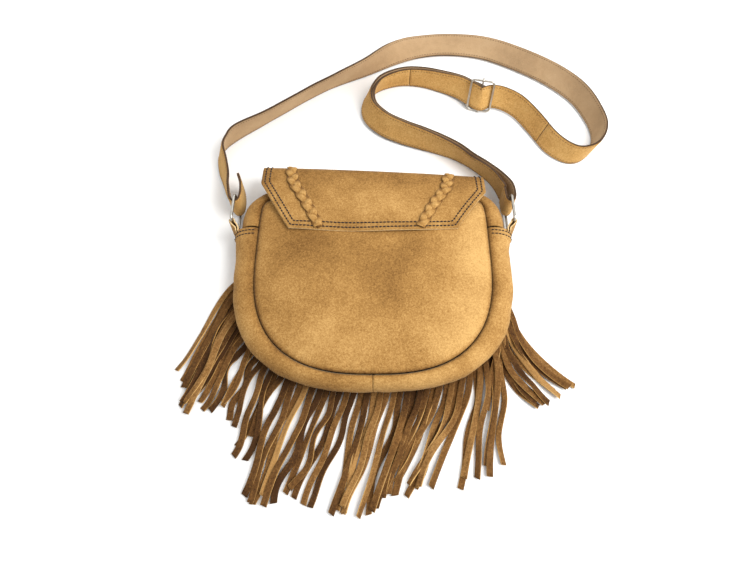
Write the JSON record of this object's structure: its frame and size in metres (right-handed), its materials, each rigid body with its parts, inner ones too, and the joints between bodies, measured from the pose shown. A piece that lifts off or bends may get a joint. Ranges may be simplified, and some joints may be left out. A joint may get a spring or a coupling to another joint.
{
  "type": "fringed shoulder bag",
  "caption": "Soft suede shoulder bag with a fringed flap, zipped top, plaited trim and an adjustable strap, lying on its front.",
  "frame": {"origin": "on the flap's front face, which rests on the surface, at the bag's mid-width", "axes": "+Z out of the back panel, +Y from the bag's bottom to its flap fold, +X to the right when the back is seen with the fold up"},
  "size_m": [0.4568, 0.5841, 0.0504],
  "materials": {
    "suede": "golden tan suede, short nap, rougher and darker at the seams",
    "fringe_suede": "tan suede cut into strands with raw edges",
    "braid_suede": "tan suede thong, plaited",
    "strap_suede": "golden tan suede with edge stitching",
    "strap_backing": "paler pinkish beige flesh side",
    "lining": "black woven lining",
    "zip": "black zip tape and teeth",
    "nickel": "satin nickel wire",
    "dark_metal": "dark antique metal"
  },
  "bodies": {
    "bag": {"back_panel": "suede", "braid_left": "braid_suede", "braid_right": "braid_suede", "flap": "suede", "flap_lining": "lining", "fringe": "fringe_suede", "front_panel": "suede", "gusset_left": "suede", "gusset_right": "suede", "lining": "lining", "slider_bar": "nickel", "slider_frame": "nickel", "snap_socket": "dark_metal", "snap_stud": "dark_metal", "strap_long_backing": "strap_backing", "strap_long_face": "strap_suede", "strap_middle_backing": "strap_backing", "strap_middle_face": "strap_suede", "strap_return_backing": "strap_backing", "strap_return_face": "strap_suede", "strap_ring_end_backing": "strap_backing", "strap_ring_end_face": "strap_suede", "tab_left": "suede", "tab_right": "suede", "zip_coil_back": "zip", "zip_coil_front": "zip", "zip_strip_back": "suede", "zip_strip_front": "suede", "zip_tape_back": "zip", "zip_tape_front": "zip"},
    "ring_left": {"ring_left": "nickel"},
    "ring_right": {"ring_right": "nickel"},
    "zip_slider": {"zip_slider": "dark_metal"},
    "zip_pull": {"zip_pull": "dark_metal"}
  },
  "joints": [
    {"name": "zip_slide", "type": "slide", "parent": "bag", "child": "zip_slider", "axis": [1, 0, 0], "range_m": [-0.12, 0.03]},
    {"name": "zip_pull_lift", "type": "hinge", "parent": "zip_slider", "child": "zip_pull", "pos_m": [0.053, 0.11435, 0.02], "axis": [0, 0, -1], "range_deg": [0, 20]},
    {"name": "ring_left_swing", "type": "hinge", "parent": "bag", "child": "ring_left", "pos_m": [-0.1455, 0.064, 0], "axis": [0, 0, 1], "range_deg": [-1, 3]},
    {"name": "ring_right_swing", "type": "hinge", "parent": "bag", "child": "ring_right", "pos_m": [0.1455, 0.064, 0], "axis": [0, 0, 1], "range_deg": [-2, 3]}
  ]
}
